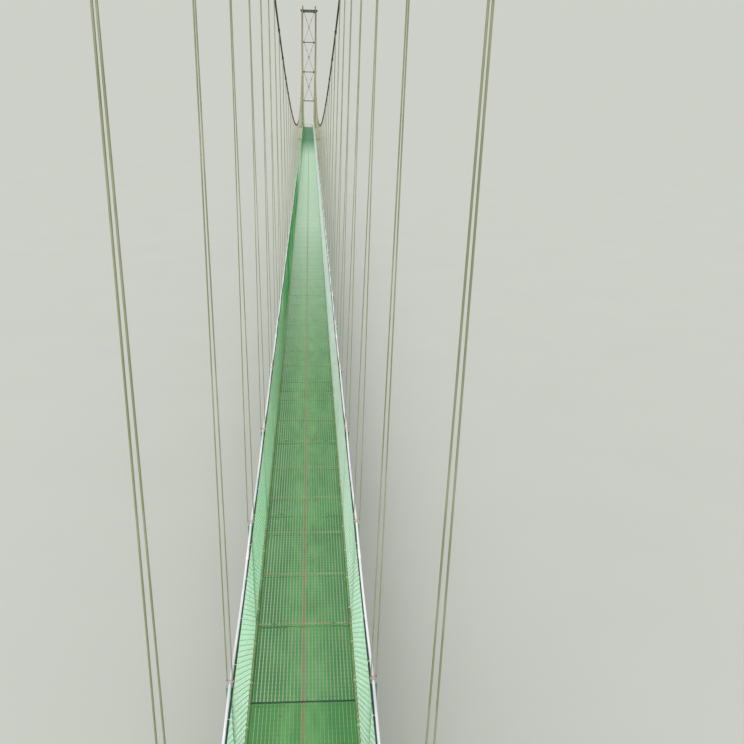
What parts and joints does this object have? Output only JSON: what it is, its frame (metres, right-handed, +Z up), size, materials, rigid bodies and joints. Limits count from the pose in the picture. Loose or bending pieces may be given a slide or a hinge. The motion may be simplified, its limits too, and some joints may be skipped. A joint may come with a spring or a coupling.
{
  "type": "scale model of a rope suspension footbridge",
  "caption": "Long narrow footbridge at 1:10: main cables over slim towers, doubled rope hangers, green grating deck, mesh sides and concrete end blocks.",
  "frame": {"origin": "mid-span on the ground, at the middle of the underside of the whole model", "axes": "+Y along the bridge from the near end to the far end, +X to the right across it, +Z up"},
  "size_m": [0.24, 11.7348, 1.2822],
  "materials": {
    "concrete": "rough weathered concrete",
    "shoe_steel": "dull galvanised steel",
    "tower_paint": "dark weathered paint",
    "main_cable": "dark weathered wire rope",
    "hanger_rope": "twisted khaki rope",
    "handrail_white": "satin white paint",
    "deck_green": "worn green paint on grating",
    "frame_green": "dark green paint",
    "mesh_green": "pale mint paint on mesh"
  },
  "bodies": {
    "root": {"near_abutment": "concrete", "near_anchor_block": "concrete", "near_anchor_shoe": "shoe_steel", "near_tower_left_leg": "tower_paint", "near_tower_right_leg": "tower_paint", "near_tower_cap_beam": "tower_paint", "near_tower_bracing": "tower_paint", "far_abutment": "concrete", "far_anchor_block": "concrete", "far_anchor_shoe": "shoe_steel", "far_tower_left_leg": "tower_paint", "far_tower_right_leg": "tower_paint", "far_tower_cap_beam": "tower_paint", "far_tower_bracing": "tower_paint", "left_main_cable": "main_cable", "right_main_cable": "main_cable", "deck_grating_1": "deck_green", "deck_grating_2": "deck_green", "deck_grating_3": "deck_green", "deck_grating_4": "deck_green", "deck_grating_5": "deck_green", "deck_frame_1": "frame_green", "deck_frame_2": "frame_green", "deck_frame_3": "frame_green", "deck_frame_4": "frame_green", "deck_frame_5": "frame_green", "left_rail_and_hangers_1": "hanger_rope", "left_rail_and_hangers_2": "hanger_rope", "left_rail_and_hangers_3": "hanger_rope", "left_rail_and_hangers_4": "hanger_rope", "left_rail_and_hangers_5": "hanger_rope", "right_rail_and_hangers_1": "hanger_rope", "right_rail_and_hangers_2": "hanger_rope", "right_rail_and_hangers_3": "hanger_rope", "right_rail_and_hangers_4": "hanger_rope", "right_rail_and_hangers_5": "hanger_rope", "left_mesh_panel_1": "mesh_green", "left_mesh_panel_2": "mesh_green", "left_mesh_panel_3": "mesh_green", "left_mesh_panel_4": "mesh_green", "left_mesh_panel_5": "mesh_green", "right_mesh_panel_1": "mesh_green", "right_mesh_panel_2": "mesh_green", "right_mesh_panel_3": "mesh_green", "right_mesh_panel_4": "mesh_green", "right_mesh_panel_5": "mesh_green"}
  },
  "joints": []
}
